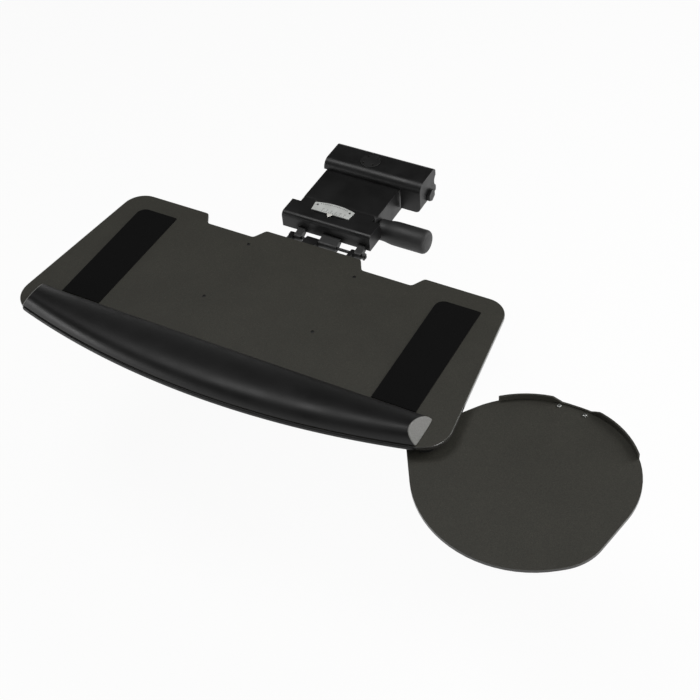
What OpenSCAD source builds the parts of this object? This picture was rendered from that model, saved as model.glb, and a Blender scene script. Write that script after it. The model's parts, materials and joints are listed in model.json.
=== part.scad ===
// Articulating under-desk keyboard tray: swivel hub, parallel lift arm, tilting
// keyboard platform with palm rest, and a swivelling mouse platform.
// Frame: origin at the centre of the hub's top face, +X right, +Y back, +Z up.

/* [Keyboard platform] */
// Half width of the platform at the palm rest's back line
platform_half_w = 324; // [300:1:340]
// Inward slope of each side edge, per unit of depth
side_slope = 0.11; // [0:0.01:0.16]
// Depth from the palm rest's back line to the rear edge
key_depth = 225; // [215:1:245]
// Depth of the bowed front edge in front of that line, at the middle
bow_depth = 87; // [80:1:96]
// Thickness of the platform board
board_t = 6.4; // [5:0.1:10]
// Radius of the front corners
front_corner_r = 39; // [25:1:45]
// Radius of the rear corners
rear_corner_r = 32; // [15:1:45]
// Half width of the tab in the middle of the rear edge
tab_half_w = 76; // [70:1:84]
// Width of each rear cable recess along its floor
recess_w = 76; // [50:1:90]
// Depth of each rear cable recess
recess_depth = 19; // [10:1:24]
// Run-out of a recess's sloping side
recess_ramp = 11; // [6:1:16]

/* [Palm rest and pads] */
// Half length of the palm rest
palm_half_l = 296; // [250:1:300]
// Height of the palm rest's crown
palm_h = 19.5; // [14:0.5:26]
// Width of each non-skid pad
pad_w = 62; // [40:1:70]
// Distance from the middle to a pad's inner edge
pad_in = 209; // [190:1:220]
// Length of each pad behind the palm rest
pad_l = 195; // [150:1:200]
// Thickness of a pad
pad_t = 1.2; // [0.8:0.1:3]
// Radius of a pad's rounded rear corner
pad_corner_r = 13; // [6:1:20]

/* [Mouse platform] */
// Radius of the mouse platform's rear edge
mouse_r = 130; // [120:1:134]
// Distance from the swivel stud to the platform's middle
mouse_reach = 134.5; // [130:0.5:146]
// Thickness of the mouse platform
mouse_t = 5.5; // [4:0.1:8]
// Drop from the keyboard platform's top to the mouse platform's top
mouse_drop = 20; // [18.6:0.2:30]
// Swivel stud, to the right of the middle
mouse_stud_x = 295.5; // [285:0.5:305]
// Swivel stud, in front of the palm rest's back line
mouse_stud_y = 24; // [10:0.5:30]
// Diameter of the swivel stud
mouse_stud_d = 10; // [8:0.5:14]
// Height of the guard over the mouse platform
guard_h = 8.5; // [4:0.5:8.9]
// Thickness of the guard's wall
guard_t = 2.6; // [2:0.2:5]

/* [Tilt hinge] */
// Diameter of the hinge rod
rod_d = 4.6; // [4:0.2:6]
// End of the hinge rod at the left of the arm's middle
rod_left = 54; // [53.5:0.5:58]
// End of the hinge rod at the right of the arm's middle
rod_right = 71; // [70.5:0.5:74]
// Middle of the hinge's centre knuckle, to the right of the arm's middle
hinge_x = 10; // [9.4:0.2:10.6]
// Half width of the centre knuckle
centre_half = 14.5; // [13.5:0.5:15]
// Width of the windows beside the centre knuckle
window_w = 28.4; // [27:0.2:28.6]
// Width of the outer knuckles
knuckle_w = 11; // [10:0.5:11.5]
// Width of the bracket's broad hinge arm
broad_arm_w = 20; // [14:1:22]
// Gap between the platform's rear edge and the rod's centre
rod_behind = 23; // [20:1:35]
// Depth of the rod's centre below the platform's top
rod_below = 17; // [15:0.5:22]
// Thickness of the hinge plates
hinge_plate_t = 5.6; // [4:0.2:6]
// Thickness of the bracket under the platform
bracket_t = 3; // [2:0.2:5]
// Spacing of the platform screws across
screw_pitch_x = 169; // [120:1:180]
// Spacing of the platform screws front to back
screw_pitch_y = 117; // [80:1:125]
// Rear platform screws, in front of the rear edge
screw_rear = 36; // [30:1:50]
// Diameter of the platform screws
screw_d = 5; // [4:0.5:6]

/* [Head] */
// Width of the head cover
head_w = 142; // [140:1:150]
// Depth of the head cover
head_l = 33; // [31:1:35]
// Height of the head cover
head_h = 26; // [22:1:30]
// Rounding of the head cover's front top edge
head_r = 7; // [3:0.5:10]
// Front face of the head cover, behind the hinge rod
head_behind = 12; // [10:1:14]
// Wall of the covers
wall = 2.6; // [2:0.1:3]
// Width of the tilt gauge along its front edge
gauge_w = 60; // [40:1:70]
// Depth of the tilt gauge at its ends
gauge_l = 16; // [10:1:18]
// Rise of the gauge's curved rear edge
gauge_rise = 5; // [2:0.5:6]

/* [Arm] */
// Distance between the rear and front pivots
arm_len = 94; // [84:1:120]
// Drop from the rear pivot to the front pivot
arm_fall = 4; // [3:0.5:5]
// Width over the arm cover
arm_w = 119.6; // [112:0.2:120]
// Radius of the arm cover's nose about the front pivot
arm_r = 24.5; // [23:0.5:25.5]
// Spacing of the upper and lower pivots
link_gap = 16; // [14.5:0.5:18]
// Diameter of the pivot pins
pivot_d = 10; // [8:0.5:11]
// Diameter of the lower link's pins
link_pin_d = 8; // [6:0.5:9]
// Thickness of the channel's sides
channel_t = 3; // [2:0.2:3.4]
// Diameter of the lock knob at its outer end
knob_d = 35; // [32:1:37]
// Length of the lock knob
knob_l = 76; // [50:1:90]

/* [Rear housing] */
// Rear pivot, behind the swivel axis
pivot_back = 3; // [0:0.5:6]
// Drop from the hub's top face to the rear pivot
pivot_drop = 35.8; // [35.4:0.2:42]
// Rear cover's end at the left
cover_left = 64.4; // [60.8:0.2:70]
// Rear cover's end at the right, round the lift spring
cover_right = 93.2; // [92:0.2:110]
// Front face of the rear cover, ahead of the swivel axis
cover_ahead = 27; // [25:0.5:32]
// Rear edge of the rear cover, behind the swivel axis
cover_behind = 25; // [20:0.5:27]
// Rounding of the rear cover's front edge
cover_r = 13; // [6:0.5:13]
// Rounding of the rear cover's rear edge
cover_back_r = 8; // [5:0.5:8]
// Depth of the spring housing below the hub's top face
spring_house_h = 49; // [48.6:0.2:56]
// Diameter of the swivel hub's flange
hub_d = 30; // [28:0.5:32]
// Height of the hub over the rear cover
hub_proud = 0.8; // [0.4:0.1:1.5]
// Circle of the hub's screw holes
hub_pcd = 22; // [21:0.5:24]
// Diameter of the hub's tapped holes
hub_hole_d = 3.3; // [2.5:0.1:4]

/* [Lift spring] */
// Wire diameter
wire_d = 3; // [2:0.1:3.2]
// Mean radius of the coil
coil_r = 10.5; // [10.2:0.1:11]
// Spacing of the turns
coil_pitch = 4.2; // [3.8:0.1:4.4]
// Whole turns in the coil
coil_turns = 4; // [2:1:4]

/* [Fits] */
// Radial clearance of a running pin
fit = 0.05; // [0.02:0.01:0.1]
// Side gap between parts that move past each other
gap = 0.4; // [0.3:0.05:0.6]

/* [Hidden] */
$fn = 64;

// Pivot lines, as [y, z]
rear_pivot = [pivot_back, -pivot_drop];
front_pivot = rear_pivot - [arm_len, arm_fall];
rear_link = rear_pivot - [0, link_gap];
front_link = front_pivot - [0, link_gap];

// Widths across the arm, from the outside inwards
arm_half = arm_w/2;
cover_wall = 2;
channel_half = arm_half - cover_wall - 0.2;
lug_out = channel_half - channel_t - gap;
lug_in = lug_out - hinge_plate_t;
link_out = lug_in - gap;
link_t = 5.6;
link_in = link_out - link_t;
arm_top = front_pivot.y + arm_r;

// Hub stack, downwards from the hub's top face
hub_flange_t = 2.6;
washer_t = hub_proud + wall - hub_flange_t;
plate_top = -hub_flange_t - washer_t;
plate_t = 4;
plate_bottom = plate_top - plate_t;
hub_neck_d = 14;
hub_thread_d = 12;
bush_d = 18;
lower_washer_t = 1.2;
hub_nut_t = 4.6;
hub_end = plate_bottom - lower_washer_t - hub_nut_t;

// Rear cover
cover_top = -hub_proud;
lip_bottom = arm_top + 0.3;
house_left = arm_half + 1.6;
bolt_head_t = 5;
bolt_hex = 1.7*pivot_d;
sleeve_d = 16;
coil_start = cover_right - wall - 4.6;
spring_leg_end = -3;
post_d = 5;

// Head
head_front = front_pivot.x - rod_ahead() + head_behind;
head_rear = head_front + head_l;
head_top = arm_top + 2.5;
head_bottom = head_top - head_h;
tongue_rear = head_rear + 11.6;
tongue_half = arm_half - 2.2;
gauge_x = -4;
gauge_t = 1;
gauge_front = tongue_rear - gauge_l - gauge_rise - 1.2;
lift_max = 40;
lift_slope = arm_r*tan(lift_max/2) + 0.5;

// Hinge rod and the platform's own frame
rod = [front_pivot.x - rod_ahead(), head_bottom - 1];
tray_z = rod.y + rod_below;
tray_y = rod.x - rod_behind - key_depth;
board_bottom = -board_t;
bracket_bottom = board_bottom - bracket_t;
knuckle_r = rod_d/2 + 3.2;
clip_t = 1.6;

// Places of the hinge's knuckles across: the head's own, then the bracket's beside them
centre_from = hinge_x - centre_half;
centre_to = hinge_x + centre_half;
left_to = centre_from - window_w;
left_from = left_to - knuckle_w;
right_from = centre_to + window_w;
right_to = right_from + knuckle_w;
head_knuckles = [[left_from, left_to], [centre_from, centre_to], [right_from, right_to]];
bracket_knuckles = [[left_from - gap - hinge_plate_t, left_from - gap],
    [centre_from - gap - broad_arm_w, centre_from - gap],
    [right_from - gap - hinge_plate_t, right_from - gap]];

// Platform corners: centres that touch the side edge and the front or rear edge
side_norm = sqrt(1 + side_slope*side_slope);
front_corner = [platform_half_w - front_corner_r*side_norm + side_slope*12, -12];
rear_corner_y = key_depth - rear_corner_r;
rear_corner = [platform_half_w - rear_corner_r*side_norm - side_slope*rear_corner_y, rear_corner_y];
corner_ahead = bow_depth + front_corner.y;
front_r = (pow(front_corner.x, 2) + pow(corner_ahead, 2) - pow(front_corner_r, 2))
    / (2*(corner_ahead - front_corner_r));
front_centre = front_r - bow_depth;

// Mouse platform
stud = [mouse_stud_x, -mouse_stud_y];
mouse_lobe_r = 24;
mouse_circles = [
    [stud.x + 0.975*mouse_reach, stud.y + 0.083*mouse_r, 1.095*mouse_r],
    [stud.x + 1.338*mouse_reach, stud.y - 0.325*mouse_r, 0.544*mouse_r],
    [stud.x + 1.121*mouse_reach, stud.y + 0.153*mouse_r, 0.862*mouse_r],
    [stud.x + mouse_reach, stud.y + 0.015*mouse_r, mouse_r],
    [stud.x, stud.y, mouse_lobe_r]];
stud_flange_d = 24;
stud_flange_t = 2;
spacer_d = 30;
mouse_washer_t = 1.6;
mouse_nut_t = 8;
mouse_bush_d = mouse_stud_d + 5;
mouse_stack = mouse_drop + mouse_t + mouse_washer_t + mouse_nut_t;
scoop_from = 97;
scoop_to = 74;
guard_from = 129.5;
guard_to = 37.5;

// Distance from the front pivot forward to the hinge rod
function rod_ahead() = head_l + head_behind + knob_d/2 + 0.5;

// Points on an arc about c, from angle a to angle b
function arc(c, r, a, b, n) = [for (i = [0:n]) c + r*[cos(a + (b - a)*i/n), sin(a + (b - a)*i/n)]];

// Outward angle of the straight line that leaves circle a for circle b, anticlockwise
function leave(a, b) = let (d = [b.x - a.x, b.y - a.y])
    atan2(d.y, d.x) - acos((a.z - b.z)/norm(d));

// Outline of a belt drawn tight round circles [x, y, r], listed anticlockwise
function belt(c, step = 7.5) = [for (i = [0:len(c) - 1])
    let (before = c[(i + len(c) - 1) % len(c)], here = c[i], after = c[(i + 1) % len(c)],
        a = leave(before, here), sweep = ((leave(here, after) - a) % 360 + 360) % 360,
        n = max(1, ceil(sweep/step)))
    each arc([here.x, here.y], here.z, a, a + sweep, n)];

function grown(c, by) = [for (k = c) [k.x, k.y, k.z + by]];
function flipped(points) = [for (i = [len(points) - 1:-1:0]) [-points[i].x, points[i].y]];

// Closed tube of 6 sides along a path, as [points, faces]
function unit(v) = v/norm(v);
function tube_ring(p, t, r, sides) = let (u = unit(cross(t, abs(t.x) < 0.8 ? [1, 0, 0] : [0, 1, 0])),
    v = cross(t, u)) [for (k = [0:sides - 1]) p + r*(u*cos(360*k/sides) + v*sin(360*k/sides))];
function tangent(path, i) = unit(path[min(i + 1, len(path) - 1)] - path[max(i - 1, 0)]);

module tube(path, d, sides = 6) {
    rings = [for (i = [0:len(path) - 1]) each tube_ring(path[i], tangent(path, i), d/2, sides)];
    last = len(path) - 1;
    walls = [for (i = [0:last - 1], k = [0:sides - 1])
        let (a = i*sides + k, b = i*sides + (k + 1) % sides, c = a + sides, d = b + sides)
        each [[a, d, b], [a, c, d]]];
    ends = [for (k = [1:sides - 2]) each [[0, k, k + 1], [last*sides, last*sides + k + 1, last*sides + k]]];
    polyhedron(points = rings, faces = concat(walls, ends));
}

// A plate cut to an outline in the side view [y, z], between two places across the arm
module side_plate(points, x0, x1) {
    translate([x0, 0, 0]) rotate([90, 0, 90]) linear_extrude(x1 - x0) polygon(points);
}

module both_sides() {
    children();
    mirror([1, 0, 0]) children();
}

// A round bar or hole along X
module bar(at, d, x0, x1) {
    translate([x0, at.x, at.y]) rotate([0, 90, 0]) cylinder(d = d, h = x1 - x0);
}

module disc(d, z0, z1, at = [0, 0]) {
    translate([at.x, at.y, z0]) cylinder(d = d, h = z1 - z0);
}

module hex_x(at, across, x0, x1) {
    translate([x0, at.x, at.y]) rotate([0, 90, 0]) cylinder(d = across/cos(30), h = x1 - x0, $fn = 6);
}

module on_tray() {
    translate([0, tray_y, tray_z]) children();
}

// Swivel hub and what turns on it
module swivel_hub() {
    color("dimgray") difference() {
        union() {
            disc(hub_d, -hub_flange_t, 0);
            disc(hub_neck_d, plate_bottom - lower_washer_t, 0);
            disc(hub_thread_d, hub_end, 0);
        }
        for (a = [45:90:315]) disc(hub_hole_d, -hub_flange_t - 1, 1, hub_pcd/2*[cos(a), sin(a)]);
    }
}

module hub_nut() {
    color("silver") difference() {
        translate([0, 0, hub_end]) cylinder(d = 19/cos(30), h = hub_nut_t, $fn = 6);
        disc(hub_thread_d + 2*fit, hub_end - 1, plate_bottom);
    }
}

module thrust_washer() {
    color("ivory") difference() {
        disc(hub_d, plate_top, plate_top + washer_t);
        disc(hub_neck_d + 2*fit, plate_top - 1, 0);
    }
}

module swivel_bush() {
    color("ivory") difference() {
        disc(bush_d, plate_bottom, plate_top);
        disc(hub_neck_d + 2*fit, plate_bottom - 1, 0);
    }
}

module lower_washer() {
    color("silver") difference() {
        disc(hub_d - 4, plate_bottom - lower_washer_t, plate_bottom);
        disc(hub_neck_d + 2*fit, plate_bottom - 2*lower_washer_t, 0);
    }
}

// Steel bracket whose two lugs carry the rear pivots
bracket_front = -cover_ahead + cover_r;
bracket_rear = cover_behind - cover_back_r;
lug_r = 10;
cover_screw_x = lug_in - 7;
peg_d = 7;
peg_screw_d = 3;

module pivot_bracket() {
    lug = belt([[rear_link.x, rear_link.y, lug_r - 1], [bracket_rear - 2, plate_bottom, 2],
        [bracket_front + 2, plate_bottom, 2]]);
    color("dimgray") difference() {
        union() {
            translate([-lug_out, bracket_front, plate_bottom])
                cube([2*lug_out, bracket_rear - bracket_front, plate_t]);
            both_sides() side_plate(lug, lug_in, lug_out);
        }
        disc(bush_d + 2*fit, plate_bottom - 1, plate_top + 1);
        bar(rear_pivot, pivot_d + 2*fit, -lug_out - 1, lug_out + 1);
        bar(rear_link, link_pin_d + 2*fit, -lug_out - 1, lug_out + 1);
        both_sides() disc(peg_d + 2*fit, plate_bottom - 1, plate_top + 1, [cover_screw_x, 0]);
    }
}

// Rear cover: hood over the bracket with a deeper housing round the lift spring
function hood(ahead, behind, top, bottom, r, back_r) = concat(
    arc([behind - back_r, top - back_r], back_r, 90, 0, 6),
    [[behind, bottom], [-ahead, bottom]],
    arc([-ahead + r, top - r], r, 180, 90, 10));

module rear_cover() {
    house_r = 9;
    house_w = cover_right - house_left;
    inner_r = cover_r - wall;
    inner_back_r = cover_back_r - wall;
    inner_behind = cover_behind - wall;
    front_view = belt([[house_left + 1, -spring_house_h + 1, 1], [cover_right - house_r,
        -spring_house_h + house_r, house_r], [cover_right - 1, 0, 1], [house_left + 1, 0, 1]]);
    color("black") difference() {
        union() {
            side_plate(hood(cover_ahead, cover_behind, cover_top, lip_bottom, cover_r, cover_back_r),
                -cover_left, cover_right);
            intersection() {
                side_plate(hood(cover_ahead, cover_behind, cover_top, -spring_house_h, cover_r,
                    cover_back_r), house_left, cover_right);
                translate([0, cover_behind + 1, 0]) rotate([90, 0, 0])
                    linear_extrude(cover_behind + cover_ahead + 2) polygon(front_view);
            }
        }
        side_plate(hood(cover_ahead - wall, inner_behind, cover_top - wall, lip_bottom - 1, inner_r,
            inner_back_r), -cover_left + wall, cover_right - wall);
        side_plate(hood(cover_ahead - wall, inner_behind, cover_top - wall, -spring_house_h - 1, inner_r,
            inner_back_r), house_left - 1, cover_right - wall);
        // The housing is open behind the spring
        translate([house_left - 1, inner_behind - 1, -spring_house_h - 1])
            cube([house_w + 1 - wall, 2*wall, spring_house_h + 1 + lip_bottom]);
        disc(hub_d + 2*gap, cover_top - wall - 1, 1);
        bar(rear_pivot, pivot_d + 2*fit, cover_right - wall - 1, cover_right + 1);
        // Waist and arch in the outer wall
        bar([cover_behind + 6, -24], 22, cover_right - wall - 1, cover_right + 1);
        bar([-cover_ahead + 14, -spring_house_h - 3], 18, cover_right - wall - 1, cover_right + 1);
    }
    // Pegs through the bracket's plate, tapped from below
    color("black") both_sides() difference() {
        disc(peg_d, plate_bottom, plate_top + 0.2, [cover_screw_x, 0]);
        disc(peg_screw_d, plate_bottom - 1, plate_top - 0.4, [cover_screw_x, 0]);
    }
    // Rib that the spring's fixed leg bears on
    rib_y = rear_pivot.x - coil_r - wire_d/2 - 0.3 - wall;
    color("black") translate([coil_start - wire_d, rib_y, plate_top - 9]) cube([2*wire_d, wall, 9.2]);
}

module cover_screws() {
    color("silver") both_sides() {
        disc(peg_screw_d - 2*fit, plate_bottom - 2, plate_top - 0.6, [cover_screw_x, 0]);
        disc(peg_d + 4, plate_bottom - 2.4, plate_bottom, [cover_screw_x, 0]);
    }
}

// Rear pivot bolt, its nut, and the spring round its right end
module lift_bolt() {
    color("silver") {
        bar(rear_pivot, pivot_d, -channel_half - 9, cover_right);
        hex_x(rear_pivot, bolt_hex, cover_right, cover_right + bolt_head_t);
    }
}

module lift_nut() {
    color("silver") difference() {
        hex_x(rear_pivot, bolt_hex, -channel_half - gap - 7, -channel_half - gap);
        bar(rear_pivot, pivot_d + 2*fit, -channel_half - 20, -channel_half + 1);
    }
}

module spring_sleeve() {
    color("ivory") difference() {
        bar(rear_pivot, sleeve_d, channel_half + gap, cover_right - wall);
        bar(rear_pivot, pivot_d + 2*fit, channel_half - 1, cover_right + 1);
    }
}

rings_per_turn = 8;
coil_sweep = 360*coil_turns + 270;
coil_steps = coil_sweep*rings_per_turn/360;
function coil_point(i) = let (a = 180 + i*360/rings_per_turn)
    [coil_start - coil_pitch*i/rings_per_turn, rear_pivot.x + coil_r*cos(a), rear_pivot.y + coil_r*sin(a)];
coil = [for (i = [0:coil_steps]) coil_point(i)];
coil_gap = min([for (i = [0:coil_steps - 4], j = [i + 4:coil_steps]) norm(coil[i] - coil[j])]) - wire_d;
leg_end_y = rear_pivot.x - coil_r - 11.5;

module lift_spring() {
    echo(lift_spring_least_gap = coil_gap);
    last = coil[len(coil) - 1];
    top = [coil[0].x, coil[0].y, cover_top - wall + spring_leg_end];
    path = concat([top, [coil[0].x, coil[0].y, rear_pivot.y + wire_d]], coil,
        [[last.x, last.y - wire_d, last.z], [last.x, leg_end_y, last.z]]);
    color("silver") tube(path, wire_d);
}

module rear_link_pins() {
    color("silver") both_sides() bar(rear_link, link_pin_d, link_in, lug_out);
}

// Upper arm: steel channel between the pivots, with a post for the spring's moving leg
post = [leg_end_y + 4.5, rear_pivot.y + coil_r + wire_d/2 + post_d/2 + 0.2];

module upper_arm() {
    end_r = 13.4;
    corner_r = 4;
    web_front = front_pivot.x + 12;
    web_rear = -cover_ahead + 5;
    web_top = arm_top - cover_wall;
    side = belt([[front_pivot.x, front_pivot.y, end_r], [rear_pivot.x, rear_pivot.y, end_r],
        [post.x, post.y - 1, corner_r], [web_front, web_top - 0.3 - corner_r, corner_r]]);
    color("dimgray") difference() {
        union() {
            both_sides() side_plate(side, channel_half - channel_t, channel_half);
            translate([-channel_half, web_front, web_top - channel_t])
                cube([2*channel_half, web_rear - web_front, channel_t]);
            bar(post, post_d, channel_half - 1, coil[len(coil) - 1].x + wire_d);
        }
        bar(rear_pivot, pivot_d + 2*fit, -arm_half, arm_half);
        bar(front_pivot, pivot_d + 2*fit, -arm_half, arm_half);
    }
}

// Moulded cover over the channel, with a round nose slotted for the head's lugs
module arm_cover() {
    rear_end = -cover_ahead + 9;
    outer = concat(arc(front_pivot, arm_r, 215, 90, 14), [[rear_end, front_pivot.y + arm_r],
        [rear_end, front_pivot.y - arm_r*sin(35)]]);
    inner_r = arm_r - cover_wall;
    inner = concat(arc(front_pivot, inner_r, 180, 90, 12), [[rear_end + 1, front_pivot.y + inner_r],
        [rear_end + 1, front_pivot.y - 2*arm_r], [front_pivot.x - inner_r, front_pivot.y - 2*arm_r]]);
    color("black") difference() {
        side_plate(outer, -arm_half, arm_half);
        side_plate(inner, -arm_half + cover_wall, arm_half - cover_wall);
        both_sides() translate([lug_in - gap, front_pivot.x - 2*arm_r, front_pivot.y - 2*arm_r])
            cube([hinge_plate_t + 2*gap, 2*arm_r - 4, 4*arm_r]);
        both_sides() translate([link_in - gap, front_pivot.x - 2*arm_r, front_pivot.y - 2*arm_r])
            cube([link_t + 2*gap, 2*arm_r, 2*arm_r - 2]);
        bar(front_pivot, pivot_d + 4, arm_half - cover_wall - 1, arm_half + 1);
    }
}

// Lower link: two side bars joined by a web
module lower_link() {
    end_r = 6.4;
    side = belt([[front_link.x, front_link.y, end_r], [rear_link.x, rear_link.y, end_r]]);
    color("dimgray") difference() {
        union() {
            both_sides() side_plate(side, link_in, link_out);
            translate([-link_in - 1, front_link.x + 26, front_link.y - end_r + arm_fall/2])
                cube([2*link_in + 2, arm_len - 56, 3]);
        }
        bar(rear_link, link_pin_d + 2*fit, -arm_half, arm_half);
        bar(front_link, link_pin_d + 0.6, -arm_half, arm_half);
    }
}

// Head: steel frame that joins the arm's front pivots to the hinge rod
web_y = head_front + 6;

module tilt_frame() {
    side = belt([[web_y + 2, head_bottom + 6, 2], [front_link.x, front_link.y, 7.4],
        [front_pivot.x, front_pivot.y, 9], [web_y + 2, head_top - 10, 2]]);
    knuckle = belt([[rod.x, rod.y, knuckle_r], [web_y + 2, head_bottom + 5, 2],
        [web_y + 2, head_bottom + 6, 2]]);
    color("dimgray") difference() {
        union() {
            both_sides() side_plate(side, lug_in, lug_out);
            for (k = head_knuckles) side_plate(knuckle, k[0], k[1]);
            translate([-lug_out, web_y, head_bottom + 3]) cube([lug_out + right_to, 4, head_h - 8]);
        }
        bar(rod, rod_d + 2*fit, -rod_left, rod_right);
        bar(front_pivot, pivot_d + 2*fit, -arm_half, arm_half);
        bar(front_link, link_pin_d + 2*fit, -arm_half, arm_half);
        both_sides() translate([head_screw_x, web_y + 5, head_screw_z])
            rotate([90, 0, 0]) cylinder(d = 4, h = 6);
    }
}

head_screw_x = lug_in - 16;
head_screw_z = head_top - 10;
front_slot_h = 9;

// Moulded head cover, open below, with a tongue over the arm's nose
module head_cover() {
    outer = concat([[head_rear, head_top], [head_rear, head_bottom], [head_front + 1, head_bottom],
        [head_front, head_bottom + 1]], arc([head_front + head_r, head_top - head_r], head_r, 180, 90, 8));
    inner_r = max(0.5, head_r - wall);
    inner = concat([[head_rear + 1, head_top - wall], [head_rear + 1, head_bottom - 1],
        [head_front + wall, head_bottom - 1]],
        arc([head_front + wall + inner_r, head_top - wall - inner_r], inner_r, 180, 90, 8));
    tongue = belt([[tongue_half - 4, tongue_rear - 4, 4], [4 - tongue_half, tongue_rear - 4, 4],
        [4 - tongue_half, head_rear - 6, 4], [tongue_half - 4, head_rear - 6, 4]]);
    color("black") difference() {
        union() {
            side_plate(outer, -head_w/2, head_w/2);
            translate([0, 0, head_top - 2]) linear_extrude(2) polygon(tongue);
        }
        side_plate(inner, -head_w/2 + wall, head_w/2 - wall);
        // Slope under the tongue's rear end, clear of the arm when it is fully lowered
        side_plate([[front_pivot.x - lift_slope, head_top - 2.1], [front_pivot.x, head_top - 2.1],
            [front_pivot.x, head_top - 2 + lift_slope*tan(lift_max)]], -arm_half, arm_half);
        translate([gauge_x - pointer_run - 2, gauge_front - 4, head_top - wall - 1])
            cube([2*pointer_run + 4, 2.4, wall + 2]);
        // Slots in the front wall for the knuckles
        for (k = head_knuckles) translate([k[0] - gap, head_front - 1, head_bottom - 1])
            cube([k[1] - k[0] + 2*gap, wall + 2, front_slot_h + 1]);
    }
    // Bosses that the screws from the frame bite into
    color("black") both_sides() difference() {
        translate([head_screw_x, web_y, head_screw_z]) rotate([90, 0, 0])
            cylinder(d = 9, h = web_y - head_front - wall + 0.2);
        translate([head_screw_x, web_y + 1, head_screw_z]) rotate([90, 0, 0]) cylinder(d = 3, h = 4);
    }
}

module front_pivot_pin() {
    color("silver") bar(front_pivot, pivot_d, -channel_half, -lug_in);
}

module front_link_pins() {
    color("silver") both_sides() bar(front_link, link_pin_d, link_in, lug_out);
}

module hinge_rod() {
    color("silver") bar(rod, rod_d, -rod_left, rod_right);
}

module rod_clips() {
    color("silver") difference() {
        union() {
            bar(rod, rod_d + 6, 2 - rod_left, 2 - rod_left + clip_t);
            bar(rod, rod_d + 6, rod_right - 2 - clip_t, rod_right - 2);
        }
        bar(rod, rod_d + 2*fit, -rod_left, rod_right);
    }
}

module gauge_plate() {
    chord = gauge_w/2 + 2;
    r = (chord*chord + gauge_rise*gauge_rise)/(2*gauge_rise);
    reach = asin(chord/r);
    rear = arc([0, gauge_l + gauge_rise - r], r, 90 - reach, 90 + reach, 16);
    color("gainsboro") translate([gauge_x, gauge_front, head_top])
        linear_extrude(gauge_t) polygon(concat([[-gauge_w/2, 0], [gauge_w/2, 0]], rear));
}

module head_screws() {
    color("silver") both_sides() translate([head_screw_x, web_y + 4 + 2.4, head_screw_z]) rotate([90, 0, 0]) {
        cylinder(d = 7, h = 2.4);
        cylinder(d = 3 - 2*fit, h = 2.4 + 4 + 2.6);
    }
}

// Pointer that slides along the gauge's front edge
pointer_run = 22;

module gauge_pointer() {
    color("white") translate([gauge_x, gauge_front - 0.3, head_top]) {
        translate([0, 0, 0.2]) linear_extrude(gauge_t) polygon([[-4.5, 0], [0, -7], [4.5, 0]]);
        translate([-1, -3.4, -wall - 2]) cube([2, 1.6, wall + 2.6]);
        translate([-3, -5.2, -wall - 2]) cube([6, 5.2, 1.4]);
    }
}

// Steel bracket under the platform, with hinge arms to the rod
module tilt_bracket() {
    plate_half = screw_pitch_x/2 + 14;
    rear = key_depth - 8;
    front = key_depth - screw_rear - screw_pitch_y - 14;
    hinge = [key_depth + rod_behind, -rod_below];
    plan = belt([[plate_half - 12, front + 12, 12], [plate_half - 12, rear - 24, 12],
        [bracket_knuckles[2][1] - 4, rear - 4, 4], [bracket_knuckles[0][0] + 4, rear - 4, 4],
        [12 - plate_half, rear - 24, 12],
        [12 - plate_half, front + 12, 12]]);
    arm = belt([[rear - 46, bracket_bottom + 0.5, 1], [hinge.x, hinge.y, knuckle_r],
        [rear - 6, bracket_bottom + 0.5, 1]]);
    lighten = belt([[40, front + 34, 12], [40, rear - 66, 12], [-40, rear - 66, 12], [-40, front + 34, 12]]);
    color("dimgray") on_tray() difference() {
        union() {
            translate([0, 0, bracket_bottom]) linear_extrude(bracket_t) polygon(plan);
            for (k = bracket_knuckles) side_plate(arm, k[0], k[1]);
        }
        bar(hinge, rod_d + 2*fit, -rod_left, rod_right);
        translate([0, 0, bracket_bottom - 1]) linear_extrude(bracket_t + 2) polygon(lighten);
        platform_screw_places() cylinder(d = screw_d, h = through, center = true);
    }
}

through = 8*board_t;

module platform_screw_places() {
    for (x = [-1, 1], y = [0, 1])
        translate([x*screw_pitch_x/2, key_depth - screw_rear - y*screw_pitch_y, 0]) children();
}

// Keyboard platform: bowed front, tapered sides, two cable recesses in the rear edge
function recess_edge() = [
    [tab_half_w + recess_ramp + recess_w + recess_ramp, key_depth],
    [tab_half_w + recess_ramp + recess_w, key_depth - recess_depth],
    [tab_half_w + recess_ramp, key_depth - recess_depth],
    [tab_half_w, key_depth]];

// Corner of an outline replaced by an arc of radius r that touches both its edges
function eased(a, b, c, r) = let (u = unit(a - b), v = unit(c - b), half = acos(u*v)/2,
    centre = b + unit(u + v)*r/sin(half), from = b + u*r/tan(half) - centre, to = b + v*r/tan(half) - centre,
    s = atan2(from.y, from.x), turn = ((atan2(to.y, to.x) - s + 540) % 360) - 180)
    arc(centre, r, s, s + turn, 6);

function half_outline() = let (e = recess_edge(), out = [rear_corner.x, key_depth],
    side_a = atan2(side_slope, 1), front_a = atan2(front_corner.y - front_centre, front_corner.x), r = 6)
    concat(arc([0, front_centre], front_r, -90, front_a, 24),
        arc(front_corner, front_corner_r, front_a, side_a, 12),
        arc(rear_corner, rear_corner_r, side_a, 90, 12),
        eased(out, e[0], e[1], r), eased(e[0], e[1], e[2], r), eased(e[1], e[2], e[3], r),
        eased(e[2], e[3], [0, key_depth], r));

module keyboard_platform() {
    color("#3a3933") on_tray() difference() {
        translate([0, 0, board_bottom]) linear_extrude(board_t)
            polygon(concat(half_outline(), flipped(half_outline())));
        platform_screw_places() cylinder(d = screw_d, h = through, center = true);
        for (p = mouse_bracket_lobes) disc(screw_d, board_bottom - 1, board_bottom + 4.2, p);
    }
}

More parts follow.
